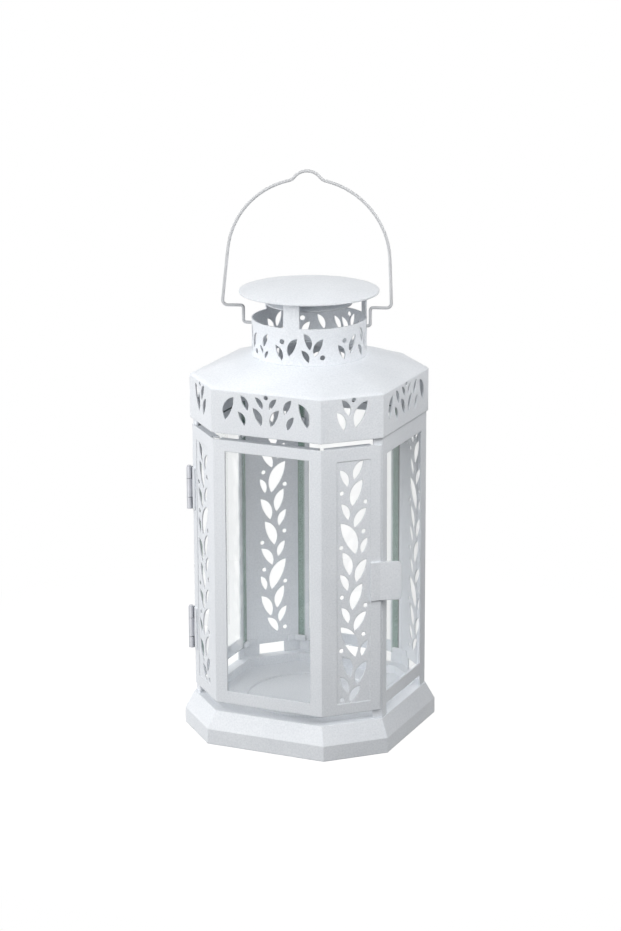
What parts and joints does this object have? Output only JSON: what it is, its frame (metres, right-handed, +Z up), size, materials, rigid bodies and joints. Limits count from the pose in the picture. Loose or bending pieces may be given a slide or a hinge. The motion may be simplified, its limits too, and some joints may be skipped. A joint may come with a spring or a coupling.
{
  "type": "candle lantern",
  "caption": "White sheet-steel candle lantern with glass windows, leaf-pierced corners, a hinged front, a round collar under a flat cap and a wire carrying bail.",
  "frame": {"origin": "bottom centre: on the surface the tray stands on, at the middle of the octagonal body", "axes": "+Z up through the collar and cap, -Y out of the hinged front, +X to the right seen from the front"},
  "size_m": [0.1445, 0.1394, 0.3547],
  "materials": {
    "white_paint": "fine textured powder coat, semi-matt",
    "zinc": "dull zinc plate",
    "wire": "bright drawn wire, slightly dull",
    "glass": "clear soda-lime sheet with greenish edges",
    "magnet": "plain dark ferrite"
  },
  "bodies": {
    "lantern": {"base_tray": "white_paint", "body_shell": "white_paint", "roof_hood": "white_paint", "collar": "white_paint", "cap": "white_paint", "heat_deflector": "white_paint", "glass_left": "glass", "glass_back": "glass", "glass_right": "glass", "clips_left": "white_paint", "clips_back": "white_paint", "clips_right": "white_paint", "upper_frame_leaf": "zinc", "upper_pin": "zinc", "lower_frame_leaf": "zinc", "lower_pin": "zinc", "catch_magnet": "magnet", "catch_bracket": "white_paint"},
    "door": {"door_shell": "white_paint", "pull_tab": "white_paint", "glass_front": "glass", "clips_front": "white_paint", "upper_door_leaf": "zinc", "lower_door_leaf": "zinc"},
    "bail": {"bail": "wire"}
  },
  "joints": [
    {"name": "door_hinge", "type": "hinge", "parent": "lantern", "child": "door", "pos_m": [-0.06595, -0.03681, 0.1], "axis": [0, 0, -1], "range_deg": [0, 175]},
    {"name": "bail_pivot", "type": "hinge", "parent": "lantern", "child": "bail", "pos_m": [0, 0, 0.258], "axis": [0.9659, 0.2588, 0], "range_deg": [-115, 115]}
  ]
}
